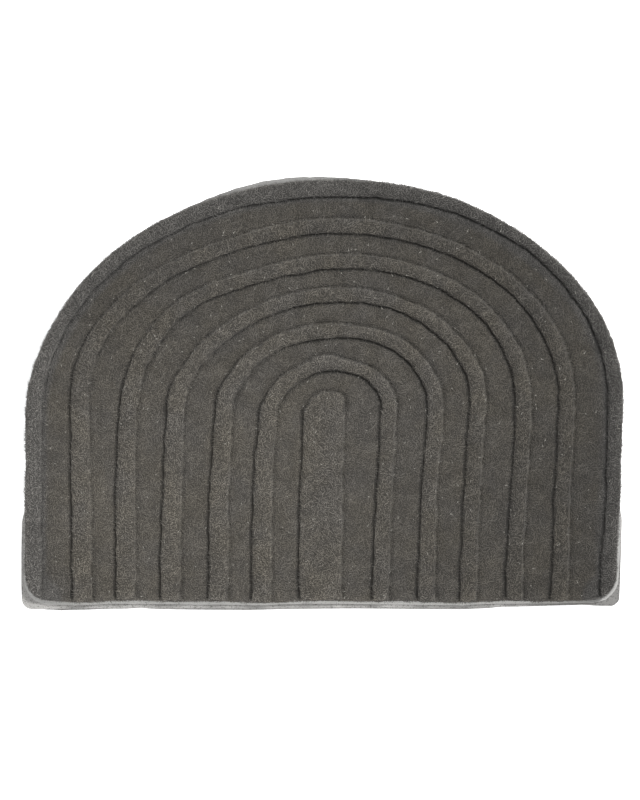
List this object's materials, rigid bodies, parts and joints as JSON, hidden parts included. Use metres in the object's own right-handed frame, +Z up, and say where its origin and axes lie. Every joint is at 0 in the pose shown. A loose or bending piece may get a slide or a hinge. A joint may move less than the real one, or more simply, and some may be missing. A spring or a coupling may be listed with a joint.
{
  "type": "doormat",
  "caption": "Half-round tufted wool doormat with nested arches carved into its pile, on a pale ground cloth and a canvas backing.",
  "frame": {"origin": "on the floor, under the middle of the mat's overall box", "axes": "+X along the straight front edge to the right, +Y from the front edge to the top of the arch, +Z up out of the pile"},
  "size_m": [0.703, 0.5072, 0.0183],
  "materials": {
    "pile": "matt tufted wool, dark warm grey",
    "ground_cloth": "plain woven cotton, off-white",
    "backing": "coarse cotton canvas, light grey"
  },
  "bodies": {
    "root": {"pile": "pile", "ground_cloth": "ground_cloth", "backing": "backing"}
  },
  "joints": []
}
